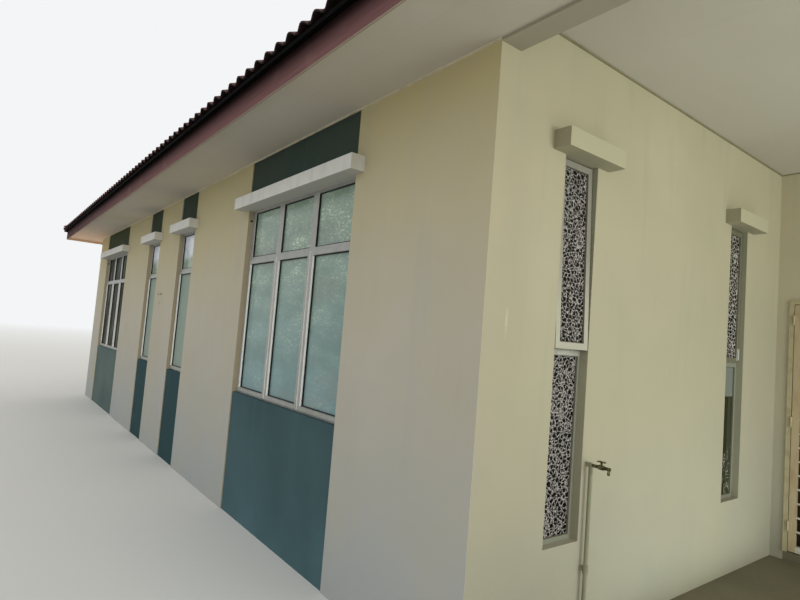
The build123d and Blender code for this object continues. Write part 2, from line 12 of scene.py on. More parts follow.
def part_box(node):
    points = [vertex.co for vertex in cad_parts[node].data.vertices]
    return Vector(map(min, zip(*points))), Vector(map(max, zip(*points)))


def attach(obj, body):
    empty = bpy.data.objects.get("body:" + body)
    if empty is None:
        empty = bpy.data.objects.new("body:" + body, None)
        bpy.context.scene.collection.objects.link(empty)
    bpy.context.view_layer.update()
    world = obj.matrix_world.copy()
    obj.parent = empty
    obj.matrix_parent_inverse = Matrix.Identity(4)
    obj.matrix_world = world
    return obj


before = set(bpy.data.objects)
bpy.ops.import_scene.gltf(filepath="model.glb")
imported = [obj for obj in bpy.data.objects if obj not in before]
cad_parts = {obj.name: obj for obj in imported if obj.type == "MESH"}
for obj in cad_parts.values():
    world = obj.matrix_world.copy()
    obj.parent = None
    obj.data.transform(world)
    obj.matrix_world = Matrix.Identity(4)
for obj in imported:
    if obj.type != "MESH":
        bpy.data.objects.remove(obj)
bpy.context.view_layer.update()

ROOT = "house"

# Camera: an eye 1.6 m up, outside the left side of the porch
EYE = Vector((-6.325, -4.543, 1.6))
HEADING = math.radians(37.24)
CLIMB = math.radians(3.83)
LEAN = math.radians(4.56)
FOCAL_PIXELS = 553.5
PHOTO_WIDTH = 800
SENSOR = 36

# Stage
FLOOR_HALF = 90
FLOOR_FADE = (16, 60)
BACKDROP = "#F4F5F6"

# Points this close are one point, and edges under so many degrees are smooth
MERGE = 1e-6
SMOOTH_BELOW = 40
BOLT_SMOOTH = 60

# Windows under this wide are narrow ones, and a hood this near a wall's face is that wall's
NARROW = 1.0
WALL_REACH = 0.2

# Levels and faces, from the frame
SIDES = ("left", "right", "rear", "front")
LEFT_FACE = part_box("left_wall")[0].x
RIGHT_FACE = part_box("right_wall")[1].x
FRONT_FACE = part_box("front_wall")[0].y
REAR_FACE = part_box("rear_wall")[1].y
PORCH_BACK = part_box("porch_wall")[0].y
ENTRANCE_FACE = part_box("entrance_wall")[0].x
NIB_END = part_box("entrance_nib")[0].y
SOFFIT_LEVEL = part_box("soffit_boards")[0].z
FASCIA_BOTTOM, FASCIA_TOP = (corner.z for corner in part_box("fascia_boards"))
PORCH_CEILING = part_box("porch_ceiling")[0].z
PORCH_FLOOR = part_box("porch_floor")[1].z
SIDE_BEAM_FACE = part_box("porch_side_beam")[1].x
FRONT_BEAM_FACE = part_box("porch_front_beam")[1].y
PORCH_MIDDLE = (LEFT_FACE + ENTRANCE_FACE) / 2
SKIN = 0.002
SLIT_FRAME_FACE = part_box("porch_window_frames")[0].y
SECOND_SASH_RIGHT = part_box("porch_sashes")[1].x
TRANSOM_LEVEL = 2.17
SLIT_TRANSOM_LEVEL = 1.598

# Roof
ROOF_PITCH = math.radians(25)
HALF_WIDTH = -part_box("left_slope")[0].x
HALF_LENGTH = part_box("rear_slope")[1].y
RIDGE_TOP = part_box("left_slope")[1].z
EAVE_TOP = RIDGE_TOP - HALF_WIDTH * math.tan(ROOF_PITCH)
TILE_COURSES = 17
TILE_SIZES = {
    "Cover": 0.30, "Gauge": HALF_WIDTH / math.cos(ROOF_PITCH) / TILE_COURSES, "Lap": 0.07,
    "Thickness": 0.010, "Roll": 0.030, "Hip Gain": math.cos(ROOF_PITCH)}
TILE_REACH = 0.006
TILE_POINTS = 17
TILE_TILT = (0.004, 0.003, 0.004)
SHADE_SEED = 7
TILT_SEED = 11
RIDGE_CLEARANCE = 0.004
CAP_SIZES = {"Lap": 0.05, "Radius": 0.124, "Thickness": 0.012}
CAP_LENGTH = 0.36
CAP_BED = 0.040
CAP_POINTS = 13
CAP_TAPER = 0.93
CAP_OVERHANG = 0.018

# Trims and fittings
PANE_EDGE = 0.02
GASKET_WIDTH = 0.006
# The rubbers run deeper than real gaskets, so that their black also stands for the shade in the
# returns: partly painted shade
UPPER_GASKET_DEPTH = 0.015
LOWER_GASKET_DEPTH = 0.013
SEALANT = 0.004
BEAD = 0.010
SASH_PROUD = 0.016
LATCH = (0.012, 0.010, 0.084)
LATCH_LEVEL = 1.673
LATCH_INSET = 0.025
LATCH_PLATE = 0.003
LATCH_ROUND = 0.0012
BOLT_LEVEL = 2.532
BOLT_DEPTH = 0.85
BOLT_RADIUS = 0.011
BOLT_RISE = 0.005

# Marks on the walls: centre, half sizes, colour and strength
WALL_MARKS = (
    ((LEFT_FACE, 2.930, 1.907), (0.05, 0.060, 0.022), "#3E392F", 0.85),
    ((LEFT_FACE, 3.060, 1.905), (0.05, 0.050, 0.020), "#4A443A", 0.80),
    ((LEFT_FACE, 2.960, 1.791), (0.05, 0.060, 0.014), "#5C5548", 0.50),
    ((LEFT_FACE + 0.16, PORCH_BACK, 1.72), (0.012, 0.05, 0.09), "#D8D4BE", 0.4),
    # A thin dark line in the first porch slit's right reveal: painted shadow in the gap beside the sash
    ((LEFT_FACE + 0.836, PORCH_BACK + 0.02, 1.93), (0.004, 0.05, 0.50), "#6B6853", 0.85),
)
# A bright band on the head of the first slit's lower frame: painted highlight
TRANSOM_HIGHLIGHT = (((LEFT_FACE + 0.689, SLIT_FRAME_FACE, 1.585), (0.22, 0.03, 0.03), "#B9B5AC", 1.0),)

# Where finishes, painted light and painted shade change: levels and places in the house, and how
# far a face turns
TOP_TONE = (1.3, 2.6)
SPLASH_AND_COOL_SHADE = (-0.3, 1.2)
TURNED_AWAY = (-0.5, -0.9)
REBATE_SIDES = (-0.6, -0.9)
DOWNWARD_SHADE_FACES = (-0.1, 0.25)
INWARD = (-1.0, -1.5)
REBATES_END = LEFT_FACE + 0.2
LEDGE_REACH = 0.2
SUNLIT_REAR = (5.4, HALF_LENGTH - 0.3)
BOARD_SHEET = (1.2, 2.4)
TILE_SHADE_BAND = (FASCIA_BOTTOM + 0.03, FASCIA_TOP - 0.02)
FARTHER = (1.0, HALF_LENGTH - 1.6)
PALE_ARRIS = (FASCIA_BOTTOM + 0.001, FASCIA_BOTTOM + 0.004)
HOOD_SHADE_LEVELS = (1.80, 2.20)
GLASS_TONE = (1.05, 2.4)
GLINT_TONE = (1.1, 2.25)
BRIGHT_ABOVE = (2.5, 2.7)
DIM_FROM = 4.8
PALE_ABOVE = (1.343, 1.353)
CURLS_BELOW = (0.98, 0.90)
GATE_STILE = (NIB_END - 0.0895, NIB_END - 0.0885)

# Masonry paints: their colours from a wall's top to its foot, and the parts, between two corners in
# X and Y, that have others
# The creams' warm tops are painted bounce light under the eaves, and their greyer feet partly rain
# splash and partly painted cool shade
OUTER_CREAM = ("#BBB087", "#B6B0A0", "#A0A4A3")
# The porch's cream is the outer cream tinted for the porch's light: painted light
PORCH_CREAM = ("#BEB599", "#AFA791", "#9B998A")
# The beams' cream is the same cream, darker and greyer: painted shade
BEAM_CREAM = ("#A09886",) * 3
# The green's olive top is darker than its foot: painted shade under the eaves
GREEN = ("#3F4A41", "#384B4D", "#4E696E")
WALL_END = (((LEFT_FACE + SKIN, PORCH_BACK - SKIN), (ENTRANCE_FACE, PORCH_BACK + SKIN), PORCH_CREAM),)
# The reveals' darker colours, outside and in the porch, are painted shade
OUTER_REVEALS = (
    ((LEFT_FACE + SKIN, PORCH_BACK + SKIN), (RIGHT_FACE - SKIN, REAR_FACE - SKIN), "#A3977F"),
    ((ENTRANCE_FACE, FRONT_FACE + SKIN), (RIGHT_FACE - SKIN, PORCH_BACK + SKIN), "#A3977F"),
)
PORCH_REVEALS = (((LEFT_FACE, PORCH_BACK + SKIN), (ENTRANCE_FACE - SKIN, REAR_FACE), "#98967F"),)
# The green is darker along the middle of the wall and paler towards the rear
GREEN_STRETCHES = (
    ((LEFT_FACE, 1.5), (RIGHT_FACE, 4.9), ("#3A4232", "#2D4649", "#2D4649")),
    ((LEFT_FACE, 4.9), (RIGHT_FACE, 7.6), ("#3F472E", "#5C6C67", "#5C6C67")),
)

# Light
DAYLIGHT = 1.04
SUN_WAY = (-0.30, -0.90, 0.45)
SUN_WATTS = 0.75
SUN_SPREAD = math.radians(40)
PANEL_MARGIN = 0.20
FRONT_MARGIN = 0.75
BEAM_MARGIN = 0.75
PANEL_LEVEL = 2.05
PANEL_HEIGHT = 1.3
PANEL_LIFT = 0.01
FRONT_PANEL_WATTS = 84
SIDE_PANEL_WATTS = 5
FLOOR_PANEL_WATTS = 46
PANEL_COLOUR = "#F4FFFA"

# Kinds of node that are used often. One in brackets has its settings, its output, and the sockets
# that take what comes in order: a mix's amount and its colours under and over, a noise's place,
# scale, detail, roughness and distortion, and a range's value, that value's two ends, and the
# result at the far end and at the near one.
MATH, VECTOR_MATH = "ShaderNodeMath", "ShaderNodeVectorMath"
SPLIT, JOIN = "ShaderNodeSeparateXYZ", "ShaderNodeCombineXYZ"
MIX = ("ShaderNodeMix", {"data_type": "RGBA"}, 2, (0, 6, 7))
NOISE = ("ShaderNodeTexNoise", {}, 0, (0, 2, 3, 4, 8))
RANGE = ("ShaderNodeMapRange", {}, 0, (0, 1, 2, 4, 3))
PLUS, MINUS, TIMES, TIMES_PLUS, LARGER, SMALLER, ABOVE, BELOW, NEAR = (
    (MATH, {"operation": word}, 0, (0, 1, 2)) for word in (
        "ADD", "SUBTRACT", "MULTIPLY", "MULTIPLY_ADD", "MAXIMUM", "MINIMUM", "GREATER_THAN",
        "LESS_THAN", "COMPARE"))
STRETCH = (VECTOR_MATH, {"operation": "MULTIPLY"}, 0, (0, 1))


def new_object(name, data):
    """An object in the scene."""
    item = bpy.data.objects.new(name, data)
    bpy.context.scene.collection.objects.link(item)
    return item


def linear(code):
    """An sRGB hex colour as linear light."""
    parts = (int(code[i:i + 2], 16) / 255 for i in (1, 3, 5))
    return tuple(p / 12.92 if p <= 0.04045 else ((p + 0.055) / 1.055) ** 2.4 for p in parts) + (1.0,)


def add(tree, kind, inputs=(), out=0, **settings):
    """A node with its settings and, for each socket, in order or by its name or number, a link, a
    hex colour or a plain value. Gives one output, or all of them where out is None. A kind in
    brackets brings its own settings and output."""
    order = range(len(inputs))
    if isinstance(kind, tuple):
        kind, settings, out, order = kind
    node = tree.nodes.new(kind)
    for name, value in settings.items():
        setattr(node, name, value)
    for socket, value in inputs.items() if isinstance(inputs, dict) else zip(order, inputs):
        if isinstance(value, bpy.types.NodeSocket):
            tree.links.new(value, node.inputs[socket])
        elif isinstance(value, str) and value.startswith("#"):
            node.inputs[socket].default_value = linear(value)
        else:
            node.inputs[socket].default_value = value
    return node.outputs if out is None or not node.outputs else node.outputs[out]


# Materials

def emptied(owner):
    """What adds nodes to a material or a world whose own nodes are cleared."""
    owner.use_nodes = True
    owner.node_tree.nodes.clear()
    return partial(add, owner.node_tree)


def new_material(name):
    """An empty material, what adds nodes to it, and the object's own coordinates in metres."""
    material = bpy.data.materials.new(name)
    node = emptied(material)
    return material, node, node("ShaderNodeTexCoord", out="Object")


def toned(node, under, over, value, low, high, most=1.0, least=0.0):
    """One colour over another: none of it where a value is low, and the most where it is high."""
    amount = node(RANGE, [value, low, high, most, least])
    return node(MIX, [amount, under, over])


def patches(node, place, under, over, size, low, high, most=1.0, stretch=(1, 1, 1), detail=5.0):
    """Cloudy patches of one colour over another, about so many metres wide."""
    spread = node(STRETCH, [place, stretch])
    cloud = node(NOISE, [spread, 1 / size, detail])
    return toned(node, under, over, cloud, low, high, most)


def stains_and_painted_light(node, place, paint, marks):
    """Small ragged marks on a paint, stains and painted shade and highlights: each one's centre, half
    sizes, colour and strength.
    """
    ragged = node(NOISE, [place, 1 / 0.02, 4.0])
    for centre, reach, colour, strength in marks:
        away = node(VECTOR_MATH, [place, centre], operation="SUBTRACT")
        away = node(VECTOR_MATH, [away, reach], operation="DIVIDE")
        away = node(VECTOR_MATH, [away], "Value", operation="LENGTH")
        away = node(TIMES_PLUS, [ragged, 1.2, away])
        paint = toned(node, paint, colour, away, 1.6, 0.7, strength)
    return paint


def inside(node, place, low, high):
    """1 where a point lies between two corners in X and Y, and 0 elsewhere."""
    middle, half = [(a + b) / 2 for a, b in zip(low, high)], [(b - a) / 2 for a, b in zip(low, high)]
    reach = node(VECTOR_MATH, [place, (*middle, 0)], operation="SUBTRACT")
    reach = node(VECTOR_MATH, [reach, (*half, 1)], operation="DIVIDE")
    reach = node(SPLIT, [node(VECTOR_MATH, [reach], operation="ABSOLUTE")], None)
    reach = node(LARGER, [reach[0], reach[1]])
    return node(BELOW, [reach, 1.0])


def facing_of(node):
    """How far a face looks along X, Y and Z, from -1 to 1."""
    return node(SPLIT, [node("ShaderNodeNewGeometry", out="True Normal")], None)


def surfaced(material, colour, roughness, height=None, depth=0.0, gloss=0.5, **others):
    """The finished material: its shader, and where there is a height a relief that deep in metres."""
    node = partial(add, material.node_tree)
    looks = {"Base Color": colour, **others, "Roughness": roughness, "Specular IOR Level": gloss}
    if height is not None:
        looks["Normal"] = node("ShaderNodeBump", {"Height": height, "Distance": depth})
    shader = node("ShaderNodeBsdfPrincipled", looks)
    node("ShaderNodeOutputMaterial", {"Surface": shader})
    return material


def masonry_paint(name, colours, cloud, areas=(), reveals=(), marks=(), shine=0.15):
    """Matt acrylic rolled over trowelled cement render: chalky and flat, with faint clouds, soft
    trowel waves under raking light, a warmer tone under the eaves, which is painted light and
    shade there, and a greyer one at the foot, partly where rain splashes up and partly painted cool
    shade. The three colours go from the top down. Areas between two corners can have three others,
    and reveals, which face sideways or down, a darker one: painted shade."""
    material, node, place = new_material(name)
    level = node(SPLIT, [place], 2)
    ragged = node(NOISE, [place, 1 / 0.35, 4.0])
    ragged = node(TIMES_PLUS, [ragged, -0.6, level])
    # Painted light and shade under the eaves towards the top, and rain splash and painted cool shade
    # towards the foot
    above = node(RANGE, [ragged, *TOP_TONE])
    below = node(RANGE, [ragged, *SPLASH_AND_COOL_SHADE, 0.0, 1.0])
    paint = colours[1]
    for low, high, (top, middle, bottom) in ((None, None, colours), *areas):
        coat = node(MIX, [above, middle, top])
        coat = node(MIX, [below, coat, bottom])
        where = inside(node, place, low, high) if low else 1.0
        paint = node(MIX, [where, paint, coat])
    # Reveals that face sideways or down get a darker colour: painted shade
    sill = node(ABOVE, [facing_of(node)[2], 0.5])
    for low, high, reveal_shade in reveals:
        where = node(MINUS, [inside(node, place, low, high), sill])
        paint = node(MIX, [where, paint, reveal_shade])
    paint = patches(node, place, paint, cloud, 0.9, 0.42, 0.72, 0.45)
    paint = patches(node, place, paint, colours[2], 0.11, 0.55, 0.8, 0.25, (1, 1, 0.09), 3.0)
    paint = stains_and_painted_light(node, place, paint, marks)
    # Roller stipple is about 3 mm in life, drawn at 9 mm so that it shows
    stipple = node(NOISE, [place, 1 / 0.009, 2.0])
    waves = node(NOISE, [place, 1 / 0.28, 2.0])
    height = node(TIMES_PLUS, [stipple, 0.12, waves])
    return surfaced(material, paint, 0.8, height, 0.004, gloss=shine)


def ledge_paint():
    """Emulsion on cast concrete ledges: off-white and brighter than the walls, but the walls' cream
    on the two over the porch slits, whose left ends and undersides are darker: painted shade. Grey
    rain runs, darker undersides, which are painted shade, and pinholes in the casting."""
    material, node, place = new_material("emulsion_on_cast_concrete")
    along = node(SPLIT, [place], 1)
    in_porch = node(NEAR, [along, PORCH_BACK, LEDGE_REACH])
    white = patches(node, place, "#CDCDC6", "#D5D4CD", 0.4, 0.35, 0.7)
    white = patches(node, place, white, "#96948A", 0.09, 0.5, 0.8, 0.3, (1, 1, 0.3))
    facing = facing_of(node)
    # Undersides darker: painted shade
    white = toned(node, white, "#B0AFA8", facing[2], *TURNED_AWAY)
    # The porch ledges' left ends and undersides darker: painted shade
    shaded_sides = node(SMALLER, [facing[0], facing[2]])
    cream = toned(node, "#BAB497", "#9A947C", shaded_sides, *TURNED_AWAY)
    paint = node(MIX, [in_porch, white, cream])
    pinholes = node(NOISE, [place, 1 / 0.02, 4.0])
    return surfaced(material, paint, 0.75, pinholes, 0.0015)


def ceiling_board_paint():
    """Cream emulsion on flat cement board: very smooth, with taped joints between sheets of 1.2 by
    2.4 m that show as faint lines, tan damp clouds, and a peach tint towards the rear: painted warm
    light."""
    material, node, place = new_material("cream_paint_on_cement_board")
    paint = patches(node, place, "#BDB6A9", "#B3AB9B", 1.3, 0.4, 0.75)
    sides = node(SPLIT, [place], None)
    # A peach tint towards the rear: painted warm light
    paint = toned(node, paint, "#F6D0B4", sides[1], *SUNLIT_REAR, 0.95)
    joints = 0.0
    for axis, sheet in enumerate(BOARD_SHEET):
        along = node(MATH, [sides[axis], sheet / 2], operation="PINGPONG")
        tape = node(RANGE, [along, 0.003, 0.008, 0.0, 0.05])
        joints = node(LARGER, [joints, tape])
    paint = node(MIX, [joints, paint, "#867E68"])
    return surfaced(material, paint, 0.8, joints, -0.002)


def fascia_paint():
    """Maroon oil paint brushed on sawn timber: a low shine, brush lines along the board, chalky
    rubbed patches, darker under the tiles and towards the rear, which is painted shade, a pale
    peach on the inner face, and a pale line along the lower arris."""
    material, node, place = new_material("maroon_oil_paint_on_timber")
    paint = patches(node, place, "#694A49", "#745352", 0.012, 0.3, 0.75, 1.0, (0.03, 0.03, 1), 3.0)
    paint = patches(node, place, paint, "#846560", 0.25, 0.58, 0.75, 0.4, detail=6.0)
    sides = node(SPLIT, [place], None)
    # Darker towards the top, under the tiles, and towards the rear: painted shade
    paint = toned(node, paint, "#1C1210", sides[2], *TILE_SHADE_BAND, 0.9)
    paint = toned(node, paint, "#33201F", sides[1], *FARTHER, 0.55)
    flat = node(STRETCH, [place, (1, 1, 0)])
    facing = node("ShaderNodeNewGeometry", out="True Normal")
    outward = node(VECTOR_MATH, [flat, facing], "Value", operation="DOT_PRODUCT")
    paint = toned(node, paint, "#EBCDB5", outward, *INWARD)
    paint = toned(node, paint, "#A59B88", sides[2], *PALE_ARRIS, 0.0, 0.8)
    drag = node(STRETCH, [place, (2, 2, 80)])
    drag = node(NOISE, [drag, 1.0, 3.0])
    return surfaced(material, paint, 0.75, drag, 0.0006, gloss=0.05)


def concrete_tile():
    """Through-coloured maroon concrete roofing: sandy and matt, each tile a little lighter or redder
    than the next, darkened by weather, and near black on the faces that look down: painted shade."""
    material, node, place = new_material("maroon_concrete_tile")
    shade = node("ShaderNodeAttribute", out="Fac", attribute_name="tile_shade")
    body = node(MIX, [shade, "#553430", "#63403B"])
    body = patches(node, place, body, "#3A2A28", 0.16, 0.42, 0.68, 0.6, detail=7.0)
    body = patches(node, place, body, "#7C6A5E", 0.045, 0.66, 0.74, 0.45)
    # Faces that look down go near black: painted shade
    body = toned(node, body, "#120E0E", facing_of(node)[2], *DOWNWARD_SHADE_FACES, 0.0, 0.85)
    # Sand facing is 1 mm grit, drawn at 6 mm so that it shows
    grit = node(NOISE, [place, 1 / 0.006, 3.0])
    return surfaced(material, body, 0.85, grit, 0.0012, gloss=0.25)


def sarking():
    """Black bitumen felt over the battens, seen only as the dark edge under the tiles: near black,
    partly the felt's own colour and partly painted shade of the gap.
    """
    material, node, place = new_material("black_bitumen_felt")
    body = patches(node, place, "#060505", "#0E0C0B", 0.06, 0.4, 0.7)
    fibres = node(NOISE, [place, 1 / 0.008, 4.0])
    return surfaced(material, body, 0.95, fibres, 0.001, gloss=0.05)


def bedding_mortar():
    """Dyed cement mortar trowelled under the cappings: maroon washed out to grey-pink."""
    material, node, place = new_material("dyed_bedding_mortar")
    body = patches(node, place, "#4E3431", "#6E5952", 0.12, 0.35, 0.65, detail=6.0)
    lumps = node(NOISE, [place, 1 / 0.03, 5.0])
    return surfaced(material, body, 0.95, lumps, 0.006)


def anodised_aluminium(name, colour, pale, dusty, lit_colour, lit_end, metallic, hood_shade=None, marks=()):
    """Anodised extrusions: grey metal with a satin bloom and fine die lines, dusty in the corners,
    and brightest and least metallic on the sides of the rebates that face the front, as far as X
    reaches the given end: a painted highlight. A darker colour can take over from that bright one
    higher up: painted shade under the hood."""
    material, node, place = new_material(name)
    metal = patches(node, place, colour, pale, 0.08, 0.35, 0.7)
    metal = patches(node, place, metal, dusty, 0.03, 0.6, 0.75, 0.5)
    # Front-facing sides of the rebates, bright and less metallic: painted highlight
    rebate = node(RANGE, [facing_of(node)[1], *REBATE_SIDES])
    early = node(BELOW, [node(SPLIT, [place]), lit_end])
    rebate = node(TIMES, [rebate, early])
    # Higher up, the bright faces turn darker: painted shade under the hood
    if hood_shade:
        lit_colour = toned(node, lit_colour, hood_shade, node(SPLIT, [place], 2), *HOOD_SHADE_LEVELS)
    metal = node(MIX, [rebate, metal, lit_colour])
    metal = stains_and_painted_light(node, place, metal, marks)
    bare = node(RANGE, [rebate, 0.0, 1.0, 0.0, metallic])
    bloom = node(NOISE, [place, 1 / 0.08, 4.0])
    satin = node(RANGE, [bloom, 0.3, 0.7, 0.5, 0.36])
    # Die lines are under 1 mm in life, drawn at 3 mm
    lines = node(NOISE, [place, 1 / 0.003, 1.0])
    return surfaced(material, metal, satin, lines, 0.0002, Metallic=bare)


def tinted_glass(name, axis, narrow_spans, dim_from):
    """Green float glass with a dim room behind it, under a painted reflection of trees and sky: a soft
    bright mottle high up, bluer and smoother lower down. The narrow windows have clear glass above,
    painted white with reflected daylight, and obscure glass below: paler mint, with a dimpled face."""
    material, node, place = new_material(name)
    sides = node(SPLIT, [place], None)
    level = sides[2]
    # The panes' colour is painted reflection over the green tint
    body = toned(node, "#7A999D", "#8B9F91", level, *GLASS_TONE)
    # What the panes mirror is three times as wide as it is high
    mirror = node(STRETCH, [place, (0.33, 0.33, 1)])
    banks = node(NOISE, [mirror, 1 / 0.16, 4.0])
    body = toned(node, body, "#677A6D", banks, 0.55, 0.38, 0.30)
    blush = node(NOISE, [mirror, 1 / 0.30, 2.0])
    body = toned(node, body, "#8C8C84", blush, 0.52, 0.66, 0.35)
    # Glints are about 12 mm high, thick in the upper lights and thin down the lower ones
    glints = node(NOISE, [mirror, 1 / 0.011, 3.0, 0.7])
    thick = node(RANGE, [level, *GLINT_TONE, 0.03, 0.16])
    glints = node(MINUS, [glints, thick])
    glints = node(TIMES_PLUS, [banks, 0.55, glints])
    body = toned(node, body, "#A0B4A2", glints, 0.66, 0.86, 0.5)
    body = toned(node, body, "#D2D9C4", glints, 0.84, 0.95, 0.95)
    # Past dim_from the panes mirror only the dark, with a few pale upright streaks
    dim = 0.0
    if dim_from is not None:
        dim = node(ABOVE, [sides[axis], dim_from])
        upright = node(STRETCH, [place, (1, 1, 0.12)])
        streaks = node(NOISE, [upright, 1 / 0.09, 3.0])
        dark = toned(node, "#2F3026", "#737A70", streaks, 0.50, 0.72)
        body = node(MIX, [dim, body, dark])
    in_narrow = 0.0
    for low_edge, high_edge in narrow_spans:
        reach = (high_edge - low_edge) / 2
        bay = node(NEAR, [sides[axis], low_edge + reach, reach])
        in_narrow = node(LARGER, [in_narrow, bay])
    upper = node(ABOVE, [level, TRANSOM_LEVEL])
    clear = node(TIMES, [in_narrow, upper])
    obscure = node(MINUS, [in_narrow, clear])
    body = node(MIX, [obscure, body, "#87978A"])
    bright = node(TIMES_PLUS, [banks, 0.5, level])
    mirrored = toned(node, "#8A9C86", "#DDE2EC", bright, *BRIGHT_ABOVE)
    body = node(MIX, [clear, body, mirrored])
    polish = node(RANGE, [obscure, 0.0, 1.0, 0.45, 0.12])
    polish = node(TIMES_PLUS, [dim, 0.6, polish])
    dimples = node(NOISE, [place, 1 / 0.012, 1.0])
    dimples = node(TIMES, [dimples, obscure])
    return surfaced(material, body, polish, dimples, 0.0015, IOR=1.25)


def patterned_film():
    """Self-adhesive privacy film on clear glass: a pale mauve-grey net round small black pebbles,
    under a glassy shine. The second slit's lower pane is left clear: dark, and pale at its top."""
    material, node, place = new_material("pebble_net_privacy_film")
    sides = node(SPLIT, [place], None)
    ragged = node(NOISE, [place, 1 / 0.012, 2.0])
    # The pebbles are about 17 mm wide and 13 mm high, 25 mm apart across and 20 mm up, and a
    # quarter larger on the second slit
    second = node(ABOVE, [sides[0], PORCH_MIDDLE])
    shrink = node(RANGE, [second, 0.0, 1.0, 0.8, 1.0])
    squat = node(STRETCH, [place, (1, 1, 1.28)])
    squat = node(VECTOR_MATH, {0: squat, "Scale": shrink}, operation="SCALE")
    pebbles = {"Vector": squat, "Scale": 1 / 0.028, "Randomness": 0.95}
    pebble = node("ShaderNodeTexVoronoi", pebbles, "Distance", feature="DISTANCE_TO_EDGE")
    edge = node(TIMES_PLUS, [ragged, 0.30, pebble])
    net = node(RANGE, [edge, 0.31, 0.22])
    cords = patches(node, place, "#403A3A", "#B4ADAB", 0.009, 0.40, 0.62, detail=2.0)
    paler = patches(node, place, "#5C5550", "#D4CEC8", 0.012, 0.40, 0.62, detail=2.0)
    cords = node(MIX, [second, cords, paler])
    film = node(MIX, [net, "#0B0909", cords])
    lower = node(BELOW, [sides[2], SLIT_TRANSOM_LEVEL])
    bare = node(TIMES, [second, lower])
    pale = node(RANGE, [sides[2], *PALE_ABOVE])
    upright = node(STRETCH, [place, (1, 1, 0.02)])
    bands = node(NOISE, [upright, 1 / 0.05, 2.0])
    dim = toned(node, "#15140C", "#3A3B2A", bands, 0.42, 0.55)
    curls = node(NOISE, [place, 1 / 0.07, 1.0, 0.5, 1.0])
    curls = node(NEAR, [curls, 0.52, 0.018])
    low = node(RANGE, [sides[2], *CURLS_BELOW, 0.7])
    curls = node(TIMES, [curls, low])
    dim = node(MIX, [curls, dim, "#A8A898"])
    clear = node(MIX, [pale, dim, "#787D76"])
    body = node(MIX, [bare, film, clear])
    return surfaced(material, body, 0.25, gloss=0.25, IOR=1.45)


def cement_floor():
    """Steel-trowelled cement: grey-brown, blotched where it dried unevenly, fairly dull."""
    material, node, place = new_material("trowelled_cement_floor")
    body = patches(node, place, "#67624F", "#726C59", 0.6, 0.35, 0.65, detail=7.0)
    body = patches(node, place, body, "#4A463C", 0.02, 0.6, 0.72, 0.4, detail=3.0)
    hollows = node(NOISE, [place, 1 / 0.06, 6.0])
    return surfaced(material, body, 0.68, hollows, 0.002)


def brushed_enamel(name, colour, rubbed, roughness=0.4):
    """Oil enamel brushed on: a soft shine with brush drag, rubbed thin in patches."""
    material, node, place = new_material(name)
    body = patches(node, place, colour, rubbed, 0.07, 0.5, 0.72, 0.8)
    drag = node(STRETCH, [place, (160, 160, 8)])
    drag = node(NOISE, [drag, 1.0, 2.0])
    return surfaced(material, body, roughness, drag, 0.0004)


def gate_enamel():
    """Cream enamel on welded steel: pale and chalky on the bars, and stained tan by rust water on
    the stile at the hinges."""
    material, node, place = new_material("cream_enamel_on_welded_steel")
    bars = patches(node, place, "#B5B3A8", "#8E8772", 0.06, 0.5, 0.72, 0.8)
    stile = patches(node, place, "#AF9E7F", "#9C8363", 0.05, 0.45, 0.75, 0.8, (1, 1, 0.3))
    along = node(SPLIT, [place], 1)
    body = toned(node, bars, stile, along, *GATE_STILE)
    drips = node(NOISE, [place, 1 / 0.02, 3.0])
    return surfaced(material, body, 0.5, drips, 0.001)


def stained_timber():
    """Dark stained hardwood: straight grain 10 mm wide up the door, satin varnish."""
    material, node, place = new_material("dark_stained_hardwood")
    run = node(STRETCH, [place, (100, 100, 4)])
    grain = node(NOISE, [run, 1.0, 6.0, 0.5, 0.6])
    body = toned(node, "#1C1410", "#33241A", grain, 0.35, 0.65)
    return surfaced(material, body, 0.4, grain, 0.0004)


def weathered_metal(name, colour, tarnish, roughness):
    """Cast or rolled metal left outdoors: dull bright spots in a darker tarnish."""
    material, node, place = new_material(name)
    body = patches(node, place, colour, tarnish, 0.015, 0.4, 0.65, detail=6.0)
    pits = node(NOISE, [place, 1 / 0.004, 3.0])
    return surfaced(material, body, roughness, pits, 0.0003, Metallic=1.0)


def matt_strip(name, colour, dust, roughness=0.6):
    """Extruded rubber or moulded plastic: matt and even, greyed by dust."""
    material, node, place = new_material(name)
    body = patches(node, place, colour, dust, 0.04, 0.5, 0.75, 0.3, detail=4.0)
    return surfaced(material, body, roughness)


def dress(material, *names):
    """Gives nodes of the frame a finish."""
    for name in names:
        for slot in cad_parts[name].material_slots:
            slot.material = material


# Shapes

def solids(name):
    """The corners of each separate solid of a node."""
    shape = bmesh.new()
    shape.from_mesh(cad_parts[name].data)
    bmesh.ops.remove_doubles(shape, verts=shape.verts, dist=10 * MERGE)
    groups, seen = [], set()
    for start in shape.verts:
        if start in seen:
            continue
        seen.add(start)
        group, waiting = [], [start]
        while waiting:
            corner = waiting.pop()
            group.append(corner.co.copy())
            for edge in corner.link_edges:
                other = edge.other_vert(corner)
                if other not in seen:
                    seen.add(other)
                    waiting.append(other)
        groups.append(group)
    shape.free()
    return groups


def box_of(points):
    """The low and high corners round some points."""
    return [Vector(end(p[i] for p in points) for i in range(3)) for end in (min, max)]


def narrow_bays(axis, face):
    """Where the narrow windows stand along one wall, from their short hoods."""
    spans = []
    for hood in solids("window_hoods"):
        low, high = box_of(hood)
        on_wall = low[1 - axis] - WALL_REACH < face < high[1 - axis] + WALL_REACH
        if on_wall and high[axis] - low[axis] < NARROW:
            spans.append((low[axis], high[axis]))
    return spans


